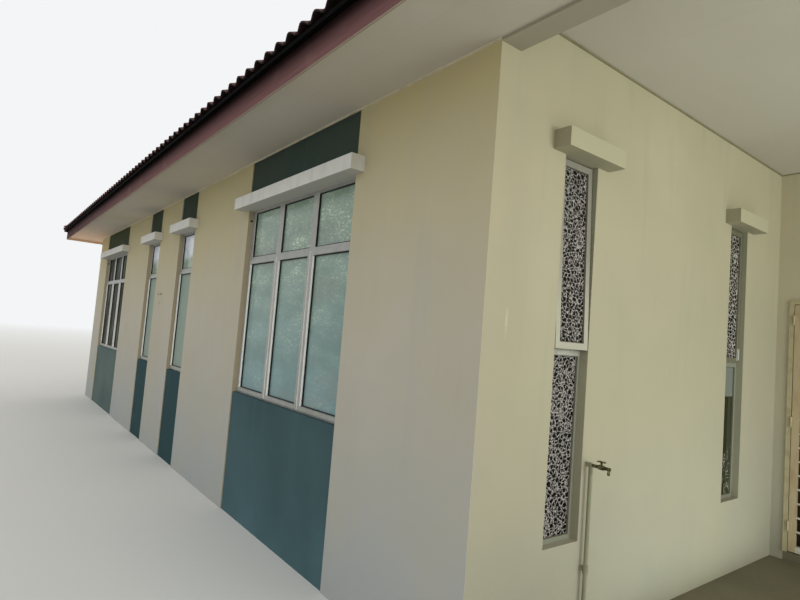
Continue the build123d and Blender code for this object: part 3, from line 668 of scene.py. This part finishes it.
def add_piece(name, shape, material, smooth_below=None):
    """A piece of the house made from a shape, with its faces outwards."""
    bmesh.ops.remove_doubles(shape, verts=shape.verts, dist=MERGE)
    bmesh.ops.recalc_face_normals(shape, faces=shape.faces)
    mesh = bpy.data.meshes.new(name)
    shape.to_mesh(mesh)
    shape.free()
    mesh.materials.clear()
    mesh.materials.append(material)
    if smooth_below is not None:
        mesh.shade_smooth()
        mesh.set_sharp_from_angle(angle=math.radians(smooth_below))
    piece = new_object(name, mesh)
    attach(piece, ROOT)


def bar(shape, low, high):
    """A box between two corners."""
    corners = [shape.verts.new(corner) for corner in product(*zip(low, high))]
    for face in ((0, 1, 3, 2), (4, 6, 7, 5), (0, 4, 5, 1), (2, 3, 7, 6), (0, 2, 6, 4), (1, 5, 7, 3)):
        shape.faces.new([corners[i] for i in face])


def ring(shape, centre, axes, outer, width, back, front):
    """A flat frame round a rectangle: its outer half sizes, its width and its two faces."""
    across, up, out = axes
    loops = []
    for inset, level in ((0, back), (0, front), (width, front), (width, back)):
        half_x, half_y = outer[0] - inset, outer[1] - inset
        loops.append([shape.verts.new(centre + across * sx * half_x + up * sy * half_y + out * level)
                      for sx, sy in ((-1, -1), (1, -1), (1, 1), (-1, 1))])
    for i in range(4):
        here, there = loops[i], loops[(i + 1) % 4]
        for k in range(4):
            shape.faces.new((here[k], here[(k + 1) % 4], there[(k + 1) % 4], there[k]))


# Roof tiles and cappings, by Geometry Nodes

def new_tree(name, counts, sizes):
    """A tree with a named input for each count and each size, what adds nodes to it, and its inputs."""
    tree = bpy.data.node_groups.new(name, "GeometryNodeTree")
    tree.interface.new_socket("Geometry", in_out="OUTPUT", socket_type="NodeSocketGeometry")
    for labels, kind in ((counts, "NodeSocketInt"), (sizes, "NodeSocketFloat")):
        for label in labels:
            tree.interface.new_socket(label, in_out="INPUT", socket_type=kind)
    node = partial(add, tree)
    return tree, node, node("NodeGroupInput", out=None)


def grow(shape, tree, values, place):
    """Adds to a shape what a tree makes of its inputs, by way of an object that is then removed."""
    holder = new_object(tree.name, bpy.data.meshes.new(tree.name))
    modifier = holder.modifiers.new(tree.name, "NODES")
    modifier.node_group = tree
    for item in tree.interface.items_tree:
        if item.in_out == "INPUT" and item.name in values:
            modifier[item.identifier] = values[item.name]
    evaluated = holder.evaluated_get(bpy.context.evaluated_depsgraph_get())
    mesh = bpy.data.meshes.new_from_object(evaluated)
    bpy.data.objects.remove(holder)
    mesh.transform(place)
    shape.from_mesh(mesh)
    bpy.data.meshes.remove(mesh)


def closed_strip(node, points):
    """Points that go along a strip's upper side and back along its lower side: how far along each
    one is, from 0 to 1, and whether it is on the lower side."""
    line = node("GeometryNodeMeshLine", {"Count": 2 * points})
    index = node("GeometryNodeInputIndex")
    back = node(MINUS, [2.0 * points - 1, index])
    near = node(SMALLER, [index, back])
    along = node(MATH, [near, points - 1.0], operation="DIVIDE")
    return line, along, node(ABOVE, [index, points - 0.5])


def swept(node, line, x, y, length, taper=1.0):
    """The strip as a closed outline, carried along Z and capped at both ends."""
    spot = node(JOIN, [x, y])
    outline = node("GeometryNodeSetPosition", {"Geometry": line, "Position": spot})
    outline = node("GeometryNodeMeshToCurve", [outline])
    outline = node("GeometryNodeSetSplineCyclic", {0: outline, "Cyclic": True})
    end = node(JOIN, {2: length})
    path = node("GeometryNodeCurvePrimitiveLine", {"Start": (0, 0, 0), "End": end})
    index = node("GeometryNodeInputIndex")
    radius = node(RANGE, [index, 0.0, 1.0, taper, 1.0])
    path = node("GeometryNodeSetCurveRadius", {"Curve": path, "Radius": radius})
    sweep = {"Curve": path, "Profile Curve": outline, "Fill Caps": True}
    return node("GeometryNodeCurveToMesh", sweep)


def placed(node, shape, rows, material):
    """Copies of a shape on points, each with its own shade, made real and given a material."""
    shade = node("FunctionNodeRandomValue", {"Seed": SHADE_SEED}, 1, data_type="FLOAT")
    tilts = {0: -Vector(TILE_TILT), 1: TILE_TILT, "Seed": TILT_SEED}
    tilt = node("FunctionNodeRandomValue", tilts, data_type="FLOAT_VECTOR")
    laid = {"Points": rows, "Instance": shape, "Rotation": tilt}
    copies = node("GeometryNodeInstanceOnPoints", laid)
    marks = {"Geometry": copies, "Name": "tile_shade", "Value": shade}
    marked = node("GeometryNodeStoreNamedAttribute", marks, data_type="FLOAT", domain="INSTANCE")
    real = node("GeometryNodeRealizeInstances", [marked])
    done = node("GeometryNodeSetMaterial", {"Geometry": real, "Material": material})
    node("NodeGroupOutput", [done])


def tile_tree(material):
    """Double-roll tiles in rows across a slope: X along the eave, Y up the slope, Z out of it."""
    tree, node, size = new_tree("double_roll_tiles", ("Columns", "Courses"), (
        "Cover", "Gauge", "Lap", "Thickness", "Roll", "Half Eave", "Hip Gain"))
    line, along, lower = closed_strip(node, TILE_POINTS)
    across = node(PLUS, [along, -0.5])
    x = node(TIMES, [across, size["Cover"]])
    half = node(TIMES, [along, 1.999])
    half = node(MATH, [half], operation="FRACT")
    swing = node(RANGE, [half, 0.14, 0.86, math.pi])
    hump = node(MATH, [swing], operation="SINE")
    body = node(TIMES_PLUS, [lower, -1.0, 1.0])
    body = node(TIMES, [body, size["Thickness"]])
    y = node(TIMES_PLUS, [hump, size["Roll"], body])
    y = node(TIMES, [y, -1.0])
    length = node(PLUS, [size["Gauge"], size["Lap"]])
    tile = swept(node, line, x, y, length)
    slope = node(MATH, [size["Thickness"], size["Gauge"]], operation="DIVIDE")
    lift = node(TIMES, [slope, length])
    turn = node(TIMES_PLUS, [slope, -1.0, -math.pi / 2])
    turn = node(JOIN, [turn])
    lift = node(JOIN, {2: lift})
    tile = node("GeometryNodeTransform", {"Geometry": tile, "Rotation": turn, "Translation": lift})
    reaches = []
    for count, pitch in (("Columns", "Cover"), ("Courses", "Gauge")):
        gaps = node(PLUS, [size[count], -1.0])
        reaches.append(node(TIMES, [gaps, size[pitch]]))
    rows = node("GeometryNodeMeshGrid", [*reaches, size["Columns"], size["Courses"]])
    first = node(TIMES, [reaches[1], 0.5])
    first = node(JOIN, {1: first})
    rows = node("GeometryNodeTransform", {"Geometry": rows, "Translation": first})
    spot = node(SPLIT, [node("GeometryNodeInputPosition")], None)
    reach = node(MATH, [spot[0]], operation="ABSOLUTE")
    edge = node(TIMES_PLUS, [spot[1], size["Hip Gain"], reach])
    limit = node(PLUS, [size["Half Eave"], size["Cover"]])
    beyond = node(ABOVE, [edge, limit])
    kept = node("GeometryNodeDeleteGeometry", {"Geometry": rows, "Selection": beyond})
    placed(node, tile, kept, material)
    return tree


def cap_tree(material):
    """Half-round cappings lapped along a line up Z, each wider at its lower end."""
    tree, node, size = new_tree("half_round_cappings", ("Count",), (
        "Pitch", "Lap", "Radius", "Thickness"))
    line, along, lower = closed_strip(node, CAP_POINTS)
    swing = node(TIMES, [along, math.pi])
    wall = node(TIMES, [lower, size["Thickness"]])
    radius = node(MINUS, [size["Radius"], wall])
    x = node(MATH, [swing], operation="COSINE")
    x = node(TIMES, [x, radius])
    y = node(MATH, [swing], operation="SINE")
    y = node(TIMES, [y, radius])
    length = node(PLUS, [size["Pitch"], size["Lap"]])
    cap = swept(node, line, x, y, length, CAP_TAPER)
    step = node(JOIN, {2: size["Pitch"]})
    rows = node("GeometryNodeMeshLine", {"Count": size["Count"], "Offset": step})
    placed(node, cap, rows, material)
    return tree


def slope_place(outward, half_span):
    """The matrix from a slope's own axes, X along the eave and Z out of the roof, to the house."""
    run, rise = math.cos(ROOF_PITCH), math.sin(ROOF_PITCH)
    up_slope = Vector((-outward[0] * run, -outward[1] * run, rise))
    out = Vector((outward[0] * rise, outward[1] * rise, run))
    place = Matrix((up_slope.cross(out), up_slope, out)).transposed().to_4x4()
    edge = Vector((outward[0] * half_span, outward[1] * half_span, EAVE_TOP))
    place.translation = edge - up_slope * TILE_REACH
    return place


def cut(shape, point, outwards):
    """Removes what lies beyond a plane and closes what it cut through."""
    everything = shape.verts[:] + shape.edges[:] + shape.faces[:]
    parts = bmesh.ops.bisect_plane(shape, geom=everything, dist=MERGE, plane_co=point,
                                   plane_no=outwards, clear_outer=True)
    edges = [part for part in parts["geom_cut"] if isinstance(part, bmesh.types.BMEdge)]
    bmesh.ops.holes_fill(shape, edges=edges, sides=0)


def tile_slope(name, tree, material, outward):
    """One slope's tiles, mitred at its hips and stopped short of the ridge."""
    half_span, half_eave = (HALF_WIDTH, HALF_LENGTH) if outward[0] else (HALF_LENGTH, HALF_WIDTH)
    columns = 2 * math.ceil(half_eave / TILE_SIZES["Cover"]) + 1
    sizes = {"Columns": columns, "Courses": TILE_COURSES, "Half Eave": half_eave, **TILE_SIZES}
    shape = bmesh.new()
    grow(shape, tree, sizes, slope_place(outward, half_span))
    ahead = Vector((*outward, 0))
    side = Vector((-outward[1], outward[0], 0))
    for way in (-1, 1):
        corner = ahead * half_span + side * way * half_eave
        cut(shape, corner, (side * way - ahead).normalized())
    cut(shape, ahead * RIDGE_CLEARANCE, -ahead)
    add_piece(name, shape, material, SMOOTH_BELOW)


def add_cappings(shape, tree, low, high):
    """Cappings from a low point to a high one."""
    run = high - low
    count = max(1, round(run.length / (CAP_LENGTH - CAP_SIZES["Lap"])))
    ahead = run.normalized()
    side = ahead.cross(Vector((0, 0, 1))).normalized()
    place = Matrix((side, side.cross(ahead), ahead)).transposed().to_4x4()
    place.translation = low
    grow(shape, tree, {"Count": count, "Pitch": run.length / count, **CAP_SIZES}, place)


def add_roof():
    """Tiles on the four slopes, and cappings along the ridge and the hips."""
    tile = concrete_tile()
    tiles = tile_tree(tile)
    for side, outward in (("left", (-1, 0)), ("right", (1, 0)), ("front", (0, -1)), ("rear", (0, 1))):
        tile_slope(side + "_tiles", tiles, tile, outward)
    caps = cap_tree(tile)
    ridge_half = HALF_LENGTH - HALF_WIDTH
    top = RIDGE_TOP - CAP_BED
    ridge, hips = bmesh.new(), bmesh.new()
    for way in (-1, 1):
        end = Vector((0, way * ridge_half, top))
        add_cappings(ridge, caps, end, Vector((0, 0, top)))
        for across in (-1, 1):
            corner = Vector((across * HALF_WIDTH, way * HALF_LENGTH, EAVE_TOP - CAP_BED))
            add_cappings(hips, caps, corner, end)
    for way in (-1, 1):
        cut(hips, (way * (HALF_WIDTH + CAP_OVERHANG), 0, 0), (way, 0, 0))
        cut(hips, (0, way * (HALF_LENGTH + CAP_OVERHANG), 0), (0, way, 0))
    add_piece("ridge_tiles", ridge, tile, SMOOTH_BELOW)
    add_piece("hip_tiles", hips, tile, SMOOTH_BELOW)


# Trims and fittings

def pane_frame(points):
    """A pane's centre, its half sizes, and its axes: across, up and outdoors."""
    centre = sum(points, Vector()) / len(points)
    low, high = box_of(points)
    across = Vector((1, 0, 0)) if high.x - low.x > high.y - low.y else Vector((0, 1, 0))
    uppers = [p for p in points if p.z > high.z - PANE_EDGE]
    lowers = [p for p in points if p.z < low.z + PANE_EDGE]
    up = (sum(uppers, Vector()) / len(uppers) - sum(lowers, Vector()) / len(lowers)).normalized()
    out = across.cross(up)
    main = 0 if abs(out.x) > abs(out.y) else 1
    if out[main] * centre[main] < 0:
        out = -out
    halves = [max(abs((p - centre).dot(axis)) for p in points) for axis in (across, up, out)]
    return centre, halves, (across, up, out)


def add_gaskets():
    """Black rubber round the face of every pane, deeper than a real gasket so that its black also
    stands for the shade in the returns: partly rubber and partly painted shade. A bead of grey
    sealant round the slits' panes.
    """
    rubbers, sealant = bmesh.new(), bmesh.new()
    for side in SIDES:
        for points in solids(side + "_window_glass"):
            centre, halves, axes = pane_frame(points)
            depth = UPPER_GASKET_DEPTH if centre.z > TRANSOM_LEVEL else LOWER_GASKET_DEPTH
            ring(rubbers, centre, axes, halves[:2], GASKET_WIDTH, halves[2], halves[2] + depth)
    for points in solids("porch_window_glass"):
        centre, halves, axes = pane_frame(points)
        ring(sealant, centre, axes, halves[:2], SEALANT, halves[2], halves[2] + SEALANT)
    rubber = matt_strip("extruded_black_rubber", "#161614", "#2C2B27")
    add_piece("glazing_rubbers", rubbers, rubber)
    silicone = matt_strip("grey_silicone_sealant", "#5E594C", "#726C5C", 0.5)
    add_piece("slit_sealant", sealant, silicone)


def add_beads():
    """A thin painted timber bead where the soffit meets the walls, and a tan strip where the porch
    ceiling meets them, which stands for the shadow line there: painted shade.
    """
    eaves, porch = bmesh.new(), bmesh.new()
    low, high = SOFFIT_LEVEL - BEAD, SOFFIT_LEVEL
    bar(eaves, (LEFT_FACE - BEAD, PORCH_BACK, low), (LEFT_FACE, REAR_FACE, high))
    bar(eaves, (RIGHT_FACE, FRONT_FACE, low), (RIGHT_FACE + BEAD, REAR_FACE, high))
    bar(eaves, (LEFT_FACE - BEAD, REAR_FACE, low), (RIGHT_FACE + BEAD, REAR_FACE + BEAD, high))
    bar(eaves, (ENTRANCE_FACE, FRONT_FACE - BEAD, low), (RIGHT_FACE + BEAD, FRONT_FACE, high))
    low, high = PORCH_CEILING - BEAD, PORCH_CEILING
    left, right, back, front = SIDE_BEAM_FACE, ENTRANCE_FACE, PORCH_BACK, FRONT_BEAM_FACE
    bar(porch, (left, back - BEAD, low), (right, back, high))
    bar(porch, (left, front, low), (left + BEAD, back - BEAD, high))
    bar(porch, (right - BEAD, front, low), (right, back - BEAD, high))
    bar(porch, (left + BEAD, front, low), (right - BEAD, front + BEAD, high))
    pale = brushed_enamel("cream_gloss_on_timber_bead", "#CBC4AC", "#B0A88F")
    add_piece("eaves_beads", eaves, pale)
    # A tan strip that stands for the shadow line where the porch ceiling meets the walls: painted shade
    tan = brushed_enamel("tan_strip_as_painted_shadow_line", "#8E856A", "#7C7358", 0.6)
    add_piece("porch_shadow_line_strips", porch, tan)


def add_latch():
    """The pull on the second slit's sash: a moulded bar with rounded arrises on a thin plate."""
    shape = bmesh.new()
    middle = Vector((SECOND_SASH_RIGHT - LATCH_INSET, SLIT_FRAME_FACE - SASH_PROUD, LATCH_LEVEL))
    plate = Vector((LATCH[0] * 0.75, LATCH_PLATE / 2, LATCH[2] * 0.55))
    back = middle - Vector((0, plate.y, 0))
    bar(shape, back - plate, back + plate)
    grip = Vector(LATCH) / 2
    front = middle - Vector((0, LATCH_PLATE + grip.y, 0))
    bar(shape, front - grip, front + grip)
    bmesh.ops.bevel(shape, geom=shape.edges[:], offset=LATCH_ROUND, segments=3, profile=0.5,
                    affect="EDGES")
    plastic = matt_strip("moulded_white_plastic", "#C9C8C0", "#9B998C", 0.4)
    add_piece("sash_latch", shape, plastic, SMOOTH_BELOW)


def add_bolts():
    """A dark bolt head high on the rear reveal of each wide window of the left and right walls."""
    shape = bmesh.new()
    for side, outward in (("left", -1), ("right", 1)):
        for points in solids(side + "_window_frames"):
            low, high = box_of(points)
            if high.y - low.y < NARROW:
                continue
            face, frame_face = (LEFT_FACE, low.x) if outward < 0 else (RIGHT_FACE, high.x)
            spot = Vector((face + (frame_face - face) * BOLT_DEPTH, high.y, BOLT_LEVEL))
            place = Matrix.Translation(spot) @ Matrix.Diagonal((1, BOLT_RISE / BOLT_RADIUS, 1, 1))
            bmesh.ops.create_icosphere(shape, subdivisions=2, radius=BOLT_RADIUS, matrix=place)
    steel = weathered_metal("blackened_steel", "#3A3733", "#211F1C", 0.6)
    add_piece("frame_bolts", shape, steel, BOLT_SMOOTH)


# Stage, light and camera

def add_stage():
    """A pale floor that keeps the shadow and fades to white far off."""
    mesh = bpy.data.meshes.new("floor")
    corners = [(x * FLOOR_HALF, y * FLOOR_HALF, 0) for x, y in ((-1, -1), (1, -1), (1, 1), (-1, 1))]
    mesh.from_pydata(corners, [], [(0, 1, 2, 3)])
    floor = new_object("floor", mesh)
    material, node, place = new_material("pale_studio_floor")
    matt = node("ShaderNodeBsdfPrincipled", {"Base Color": "#D2D2CE", "Roughness": 0.9})
    far = node(VECTOR_MATH, [place], "Value", operation="LENGTH")
    fade = node(RANGE, [far, *FLOOR_FADE])
    fade = node(TIMES, [fade, node("ShaderNodeLightPath", out="Is Camera Ray")])
    white = node("ShaderNodeEmission", {"Color": BACKDROP, "Strength": 1.0})
    mixed = node("ShaderNodeMixShader", [fade, matt, white])
    node("ShaderNodeOutputMaterial", {"Surface": mixed})
    mesh.materials.append(material)


def add_world():
    """Soft daylight: cooler from the left, warmer from the front, and white where it is seen."""
    world = bpy.data.worlds.new("soft_daylight")
    bpy.context.scene.world = world
    node = emptied(world)
    way = node(SPLIT, [node("ShaderNodeTexCoord", out="Generated")], None)
    light = toned(node, "#D8DEE8", "#EDEAE4", way[0], -0.9, 0.3)
    light = toned(node, light, "#FFFAEC", way[1], 0.0, -0.9)
    path = node("ShaderNodeLightPath", out=None)
    seen = node(LARGER, [path["Is Camera Ray"], path["Is Glossy Ray"]])
    seen = node(LARGER, [seen, path["Is Transmission Ray"]])
    strength = node(RANGE, [seen, 0.0, 1.0, 1.0, DAYLIGHT])
    colour = node(MIX, [seen, light, BACKDROP])
    background = node("ShaderNodeBackground", {"Color": colour, "Strength": strength})
    node("ShaderNodeOutputWorld", {"Surface": background})


def add_lamp(name, kind, energy, colour, place, turn, **settings):
    """A lamp that no camera or gloss shows."""
    lamp = bpy.data.lights.new(name, kind)
    lamp.energy = energy
    lamp.color = linear(colour)[:3]
    for setting, value in settings.items():
        setattr(lamp, setting, value)
    light = new_object(name, lamp)
    light.location = place
    light.rotation_euler = turn
    light.visible_camera = False
    light.visible_glossy = False


def add_lights():
    """A soft sun from the front, and three wide panels that fill the porch as open daylight does."""
    add_world()
    high_front = Vector(SUN_WAY).to_track_quat("Z", "Y").to_euler()
    add_lamp("soft_sun", "SUN", SUN_WATTS, "#FFFFFF", (0, 0, 0), high_front, angle=SUN_SPREAD)
    wide = ENTRANCE_FACE - LEFT_FACE
    deep = PORCH_BACK - FRONT_FACE - 2 * PANEL_MARGIN
    middle = (PORCH_BACK + FRONT_FACE) / 2
    quarter = math.pi / 2
    for name, watts, place, turn, size, size_y in (
            ("porch_front_panel", FRONT_PANEL_WATTS,
             (PORCH_MIDDLE, FRONT_FACE + PANEL_MARGIN, PANEL_LEVEL), (quarter, 0, 0),
             wide - 2 * FRONT_MARGIN, PANEL_HEIGHT),
            ("porch_side_panel", SIDE_PANEL_WATTS,
             (LEFT_FACE + PANEL_MARGIN, middle, PANEL_LEVEL), (quarter, 0, -quarter),
             deep, PANEL_HEIGHT),
            ("porch_floor_panel", FLOOR_PANEL_WATTS,
             (PORCH_MIDDLE + BEAM_MARGIN / 2, middle, PORCH_FLOOR + PANEL_LIFT),
             (2 * quarter, 0, 0), wide - 2 * PANEL_MARGIN - BEAM_MARGIN, deep)):
        add_lamp(name, "AREA", watts, PANEL_COLOUR, place, turn, shape="RECTANGLE", size=size,
                 size_y=size_y)


def add_camera():
    """The photograph's camera."""
    data = bpy.data.cameras.new("photo_camera")
    data.sensor_width = SENSOR
    data.lens = FOCAL_PIXELS * SENSOR / PHOTO_WIDTH
    data.clip_end = 4 * FLOOR_HALF
    level = math.cos(CLIMB)
    ahead = Vector((math.sin(HEADING) * level, math.cos(HEADING) * level, math.sin(CLIMB)))
    right = Vector((math.cos(HEADING), -math.sin(HEADING), 0))
    up = right.cross(ahead)
    across = right * math.cos(LEAN) + up * math.sin(LEAN)
    upward = up * math.cos(LEAN) - right * math.sin(LEAN)
    camera = new_object("photo_camera", data)
    camera.matrix_world = Matrix((across, upward, -ahead)).transposed().to_4x4()
    camera.location = EYE
    bpy.context.scene.camera = camera


def dress_nodes():
    """Every node of the frame gets its finish."""
    outer = masonry_paint("cream_masonry_paint", OUTER_CREAM, "#AEA68E", WALL_END, OUTER_REVEALS,
                          WALL_MARKS)
    # The porch's cream is the outer cream tinted for the porch's light, and the beams' a darker copy:
    # painted light and shade
    inner = masonry_paint("cream_paint_tinted_for_porch_light", PORCH_CREAM, "#ACA68C", (), PORCH_REVEALS, WALL_MARKS)
    beam = masonry_paint("cream_paint_shaded_for_beams", BEAM_CREAM, "#989078")
    green = masonry_paint("dark_green_masonry_paint", GREEN, "#314447", GREEN_STRETCHES, shine=0.08)
    # Each aluminium's colour after its dusty one is a painted highlight on faces turned to the front
    natural = anodised_aluminium("natural_anodised_aluminium", "#94958F", "#A3A49F", "#7C7C74",
                                 "#FBFBF8", REBATES_END, 0.4)
    for side in SIDES:
        dress(outer, side + "_wall")
        dress(green, side + "_panels")
        dress(natural, side + "_window_frames")
    dress(inner, "porch_wall", "entrance_wall", "entrance_nib", "entrance_lintel", "porch_column")
    dress(beam, "porch_side_beam", "porch_front_beam")
    dress(ledge_paint(), "window_hoods")
    dusty = anodised_aluminium("dusty_anodised_aluminium", "#7C7F70", "#8A8D7D", "#696B58", "#88887A",
                               ENTRANCE_FACE, 0.3, marks=TRANSOM_HIGHLIGHT)
    dress(dusty, "porch_window_frames")
    # The sashes' last colour is painted shade under the hood
    hood_shaded_metal = anodised_aluminium("anodised_aluminium_shaded_under_hood", "#7E7A67", "#8A8571", "#6B6755", "#B4AFA0",
                               PORCH_MIDDLE, 0.3, "#958F84")
    dress(hood_shaded_metal, "porch_sashes")
    for side, axis, face, dim_from in (
            ("left", 1, LEFT_FACE, DIM_FROM), ("right", 1, RIGHT_FACE, None),
            ("rear", 0, REAR_FACE, None), ("front", 0, FRONT_FACE, None)):
        glass = tinted_glass("green_glass_" + side, axis, narrow_bays(axis, face), dim_from)
        dress(glass, side + "_window_glass")
    dress(patterned_film(), "porch_window_glass")
    dress(cement_floor(), "porch_floor", "house_floor", "entrance_threshold")
    dress(ceiling_board_paint(), "house_ceiling", "porch_ceiling", "soffit_boards")
    dress(fascia_paint(), "fascia_boards")
    dress(sarking(), "left_slope", "right_slope", "front_slope", "rear_slope")
    dress(bedding_mortar(), "ridge_cap", "hip_caps")
    moulded = brushed_enamel("cream_enamel_on_moulded_timber", "#A99F80", "#96865F")
    dress(moulded, "door_frame", "hinge_pins")
    dress(gate_enamel(), "grille_gate")
    dress(stained_timber(), "entrance_door")
    dress(brushed_enamel("olive_paint_on_steel_pipe", "#85846A", "#6F6E58", 0.6), "standpipe")
    dress(weathered_metal("tarnished_tap_brass", "#9A9670", "#3A3A28", 0.5), "tap")


add_camera()
add_stage()
add_lights()
dress_nodes()
add_roof()
add_gaskets()
add_beads()
add_latch()
add_bolts()

bpy.context.scene.view_settings.view_transform = "Standard"
